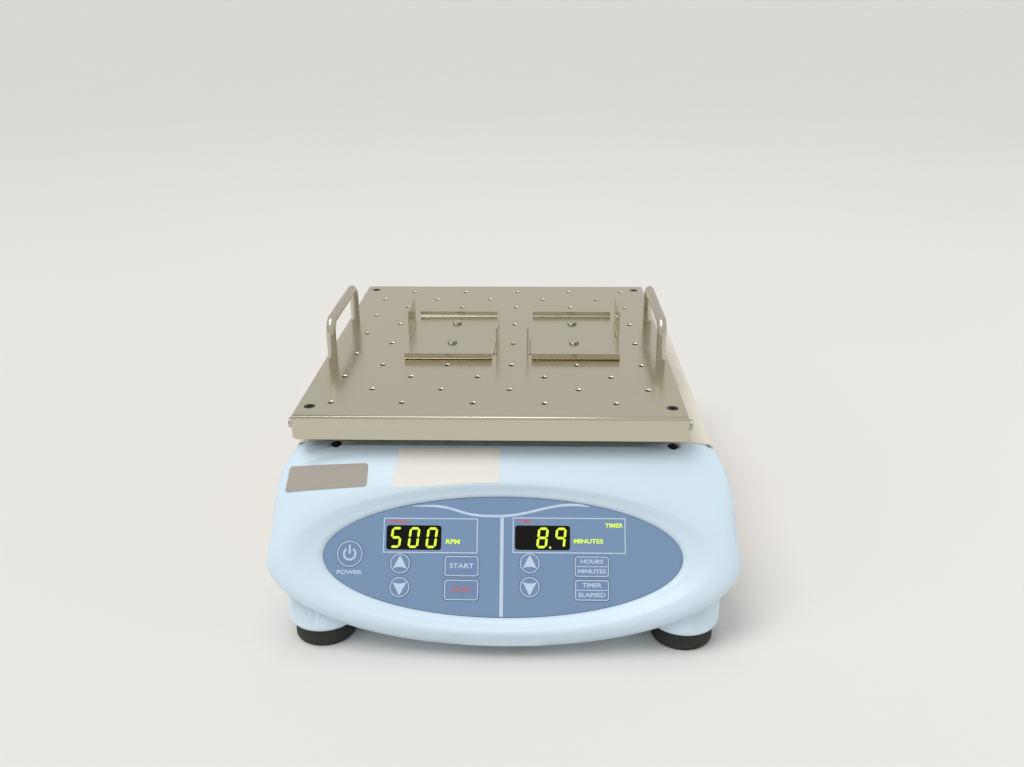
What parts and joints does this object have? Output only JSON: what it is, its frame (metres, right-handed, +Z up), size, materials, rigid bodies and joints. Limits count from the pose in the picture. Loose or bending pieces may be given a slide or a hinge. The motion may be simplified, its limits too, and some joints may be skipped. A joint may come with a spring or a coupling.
{
  "type": "orbital shaker",
  "caption": "Benchtop orbital shaker: perforated platform with bail handles and rack clips, circling on cranks above a sheet steel case with a moulded front cowl and oval key panel.",
  "frame": {"origin": "on the table, under the middle of the footprint", "axes": "+Z up, front with the key panel towards -Y, +X to the right as seen from the front"},
  "size_m": [0.329, 0.4018, 0.1885],
  "materials": {
    "galvanised_steel": "zinc plated sheet steel",
    "cream_enamel": "cream semi-gloss powder coat",
    "pale_blue_plastic": "pale blue moulded plastic, fine satin",
    "black_screws": "black oxide",
    "black_rubber": "moulded black rubber",
    "zinc_screws": "bright zinc plate",
    "blue_overlay": "blue-grey polyester overlay, satin",
    "bright_aluminium": "machined",
    "dark_window": "smoked acrylic",
    "display_module": "black moulded case, resin face",
    "circuit_board": "green solder mask",
    "brass_spacers": "turned brass",
    "black_plastic": "black moulded plastic",
    "grey_ribbon": "grey ribbon cable",
    "blue_keys": "blue polyester key top, satin",
    "cast_aluminium": "sand cast with machined faces",
    "bearing_steel": "ground bearing steel with pressed shields",
    "machined_steel": "turned steel",
    "counterweight_iron": "machined cast iron, oiled",
    "motor_enamel": "black enamel on steel",
    "belt_rubber": "ribbed black belt",
    "transformer_iron": "varnished iron laminations",
    "platform_metal": "warm grey anodised sheet",
    "handle_steel": "polished rod",
    "clip_steel": "satin stainless sheet"
  },
  "bodies": {
    "base": {"base_pan": "galvanised_steel", "front_bulkhead": "galvanised_steel", "case_cover": "cream_enamel", "rear_panel": "cream_enamel", "front_cowl": "pale_blue_plastic", "cowl_screws": "black_screws", "case_screws": "black_screws", "rear_screws": "black_screws", "rubber_feet": "black_rubber", "foot_screws": "zinc_screws", "panel_overlay": "blue_overlay", "panel_backplate": "bright_aluminium", "speed_window": "dark_window", "timer_window": "dark_window", "speed_display": "display_module", "timer_display": "display_module", "display_board": "circuit_board", "board_spacers": "brass_spacers", "key_switches": "black_plastic", "ribbon_cable": "grey_ribbon", "drive_housing": "cast_aluminium", "drive_bearings": "bearing_steel", "idler_housings": "cast_aluminium", "idler_bearings": "bearing_steel", "motor": "motor_enamel", "motor_bracket": "galvanised_steel", "motor_screws": "zinc_screws", "drive_belt": "belt_rubber", "power_board": "circuit_board", "transformer": "transformer_iron", "power_inlet": "black_plastic"},
    "drive": {"drive_shaft": "machined_steel", "drive_pulley": "bright_aluminium", "counterweight": "counterweight_iron"},
    "motor_rotor": {"motor_shaft": "machined_steel", "motor_pulley": "bright_aluminium"},
    "left_idler": {"left_idler_crank": "machined_steel"},
    "right_idler": {"right_idler_crank": "machined_steel"},
    "rear_idler": {"rear_idler_crank": "machined_steel"},
    "platform": {"platform_plate": "platform_metal", "carriage_frame": "cast_aluminium", "carriage_bearings": "bearing_steel", "platform_screws": "black_screws", "rim_screws": "zinc_screws", "left_handle": "handle_steel", "right_handle": "handle_steel", "handle_screws": "zinc_screws", "left_clip": "clip_steel", "right_clip": "clip_steel", "clip_screws": "zinc_screws"},
    "fuse_holder": {"fuse_drawer": "black_plastic"},
    "power_key": {"power_key": "blue_keys"},
    "speed_up_key": {"speed_up_key": "blue_keys"},
    "speed_down_key": {"speed_down_key": "blue_keys"},
    "start_key": {"start_key": "blue_keys"},
    "stop_key": {"stop_key": "blue_keys"},
    "time_up_key": {"time_up_key": "blue_keys"},
    "time_down_key": {"time_down_key": "blue_keys"},
    "hours_minutes_key": {"hours_minutes_key": "blue_keys"},
    "timer_elapsed_key": {"timer_elapsed_key": "blue_keys"}
  },
  "joints": [
    {"name": "drive_spin", "type": "hinge", "parent": "base", "child": "drive", "pos_m": [0, 0.02765, 0], "axis": [0, 0, 1], "continuous": true},
    {"name": "platform_orbit", "type": "hinge", "parent": "drive", "child": "platform", "pos_m": [-0.0095, 0.02765, 0], "axis": [0, 0, 1], "continuous": true},
    {"name": "left_idler_spin", "type": "hinge", "parent": "base", "child": "left_idler", "pos_m": [-0.1, -0.04, 0], "axis": [0, 0, 1], "continuous": true},
    {"name": "right_idler_spin", "type": "hinge", "parent": "base", "child": "right_idler", "pos_m": [0.1, -0.04, 0], "axis": [0, 0, 1], "continuous": true},
    {"name": "rear_idler_spin", "type": "hinge", "parent": "base", "child": "rear_idler", "pos_m": [0, 0.142, 0], "axis": [0, 0, 1], "continuous": true},
    {"name": "motor_spin", "type": "hinge", "parent": "base", "child": "motor_rotor", "pos_m": [-0.08, 0.13, 0], "axis": [0, 0, 1], "continuous": true},
    {"name": "fuse_drawer_slide", "type": "slide", "parent": "base", "child": "fuse_holder", "axis": [0, 1, 0], "range_m": [0, 0.014]},
    {"name": "power_press", "type": "slide", "parent": "base", "child": "power_key", "axis": [0, 0.848, -0.5299], "range_m": [0, 0.0004], "stiffness_N_per_m": 2500},
    {"name": "speed_up_press", "type": "slide", "parent": "base", "child": "speed_up_key", "axis": [0, 0.848, -0.5299], "range_m": [0, 0.0004], "stiffness_N_per_m": 2500},
    {"name": "speed_down_press", "type": "slide", "parent": "base", "child": "speed_down_key", "axis": [0, 0.848, -0.5299], "range_m": [0, 0.0004], "stiffness_N_per_m": 2500},
    {"name": "start_press", "type": "slide", "parent": "base", "child": "start_key", "axis": [0, 0.848, -0.5299], "range_m": [0, 0.0004], "stiffness_N_per_m": 2500},
    {"name": "stop_press", "type": "slide", "parent": "base", "child": "stop_key", "axis": [0, 0.848, -0.5299], "range_m": [0, 0.0004], "stiffness_N_per_m": 2500},
    {"name": "time_up_press", "type": "slide", "parent": "base", "child": "time_up_key", "axis": [0, 0.848, -0.5299], "range_m": [0, 0.0004], "stiffness_N_per_m": 2500},
    {"name": "time_down_press", "type": "slide", "parent": "base", "child": "time_down_key", "axis": [0, 0.848, -0.5299], "range_m": [0, 0.0004], "stiffness_N_per_m": 2500},
    {"name": "hours_minutes_press", "type": "slide", "parent": "base", "child": "hours_minutes_key", "axis": [0, 0.848, -0.5299], "range_m": [0, 0.0004], "stiffness_N_per_m": 2500},
    {"name": "timer_elapsed_press", "type": "slide", "parent": "base", "child": "timer_elapsed_key", "axis": [0, 0.848, -0.5299], "range_m": [0, 0.0004], "stiffness_N_per_m": 2500}
  ],
  "couplings": [
    {"joint": "platform_orbit", "follows": "drive_spin", "ratio": -1},
    {"joint": "left_idler_spin", "follows": "drive_spin", "ratio": 1},
    {"joint": "right_idler_spin", "follows": "drive_spin", "ratio": 1},
    {"joint": "rear_idler_spin", "follows": "drive_spin", "ratio": 1},
    {"joint": "motor_spin", "follows": "drive_spin", "ratio": 3.2}
  ]
}
